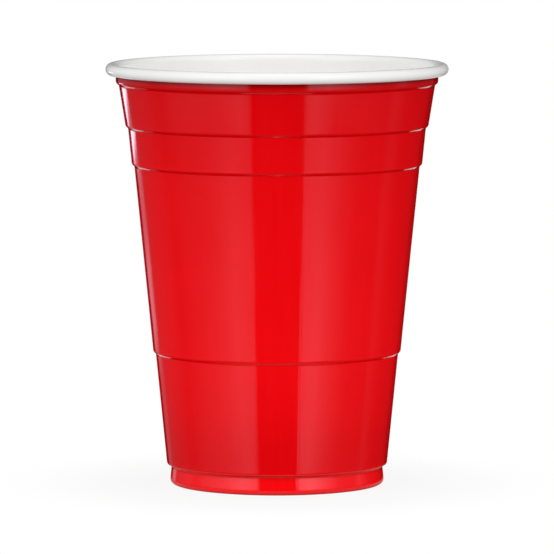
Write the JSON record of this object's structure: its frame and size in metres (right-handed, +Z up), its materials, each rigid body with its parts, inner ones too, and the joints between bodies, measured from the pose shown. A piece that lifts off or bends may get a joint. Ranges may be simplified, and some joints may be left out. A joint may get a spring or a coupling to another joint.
{
  "type": "plastic party cup",
  "caption": "Tapered disposable drinking cup, drawn from one two-colour plastic sheet, with stepped bands, a nesting foot and a rolled rim.",
  "frame": {"origin": "centre of the ring that the cup stands on, at the standing plane", "axes": "+Z up along the cup's axis towards the mouth; the cup is round, so X and Y are free"},
  "size_m": [0.095, 0.095, 0.117],
  "materials": {
    "red_polystyrene": "gloss"
  },
  "bodies": {
    "root": {"cup": "red_polystyrene"}
  },
  "joints": []
}
